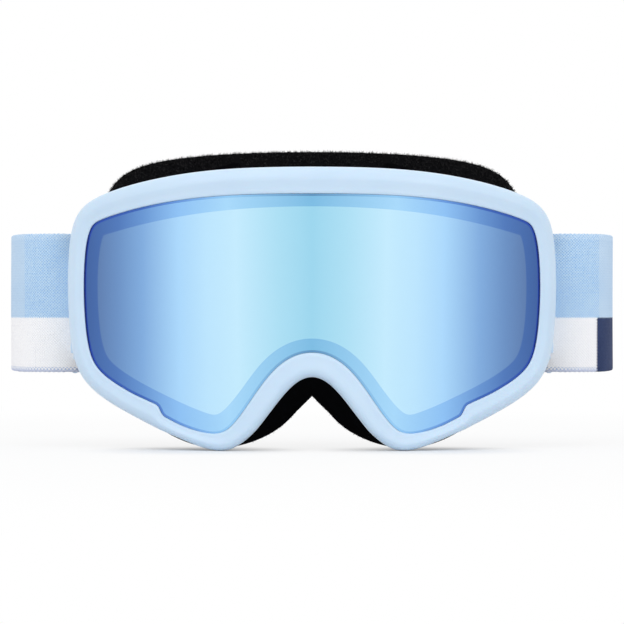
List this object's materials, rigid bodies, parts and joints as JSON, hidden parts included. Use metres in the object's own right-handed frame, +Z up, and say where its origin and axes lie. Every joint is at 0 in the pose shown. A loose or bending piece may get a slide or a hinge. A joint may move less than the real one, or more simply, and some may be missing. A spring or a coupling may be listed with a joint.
{
  "type": "ski goggles",
  "caption": "Ski goggles with a wide curved mirrored double lens, vented soft frame, layered face foam, hinged strap clips and a knitted strap with sliders.",
  "frame": {"origin": "middle of the whole object in x and y, at the height of the flat pads under the two lower lobes of the frame", "axes": "+X to the right seen from in front of the lens, +Y back towards the wearer, +Z up; left and right in names are those of someone looking at the lens"},
  "size_m": [0.2164, 0.1064, 0.1049],
  "materials": {
    "frame": "satin",
    "skirt": "satin",
    "outer_lens": "polished",
    "spacer": "matte",
    "inner_lens": "polished",
    "filter": "matte",
    "vent_foam": "matte",
    "foam_base": "matte",
    "foam_mid": "matte",
    "fleece": "matte",
    "connector": "satin",
    "pin": "satin",
    "strap": "matte",
    "strap_lining": "matte",
    "grip": "satin",
    "slider": "satin"
  },
  "bodies": {
    "frame": {"front_frame": "frame", "face_skirt": "skirt", "top_vent_foam": "vent_foam", "left_bottom_vent_foam": "vent_foam", "right_bottom_vent_foam": "vent_foam", "face_foam_base": "foam_base", "face_foam_mid": "foam_mid", "face_fleece": "fleece", "left_hinge_pin": "pin", "right_hinge_pin": "pin", "strap_main": "strap", "left_strap_inner_layer": "strap_lining", "right_strap_inner_layer": "strap_lining", "silicone_grip_1": "grip", "silicone_grip_2": "grip", "silicone_grip_3": "grip"},
    "lens": {"outer_lens": "outer_lens", "lens_spacer": "spacer", "inner_lens": "inner_lens", "lens_vent_filter": "filter"},
    "left_connector": {"left_connector": "connector", "left_strap_end": "strap"},
    "right_connector": {"right_connector": "connector", "right_strap_end": "strap"},
    "left_slider": {"left_slider": "slider"},
    "right_slider": {"right_slider": "slider"}
  },
  "joints": [
    {"name": "lens_release", "type": "slide", "parent": "frame", "child": "lens", "axis": [0, -1, 0], "range_m": [0, 0.03]},
    {"name": "left_connector_hinge", "type": "hinge", "parent": "frame", "child": "left_connector", "pos_m": [-0.08389, 0.00186, 0.051], "axis": [0, 0, 1], "range_deg": [-12, 20], "deforming": ["left_strap_end"]},
    {"name": "right_connector_hinge", "type": "hinge", "parent": "frame", "child": "right_connector", "pos_m": [0.08389, 0.00186, 0.051], "axis": [0, 0, -1], "range_deg": [-12, 20], "deforming": ["right_strap_end"]},
    {"name": "left_slider_slide", "type": "slide", "parent": "frame", "child": "left_slider", "axis": [1, 0, 0], "range_m": [-0.01, 0.016], "deforming": ["left_strap_inner_layer"]},
    {"name": "right_slider_slide", "type": "slide", "parent": "frame", "child": "right_slider", "axis": [-1, 0, 0], "range_m": [-0.01, 0.016], "deforming": ["right_strap_inner_layer"]}
  ]
}
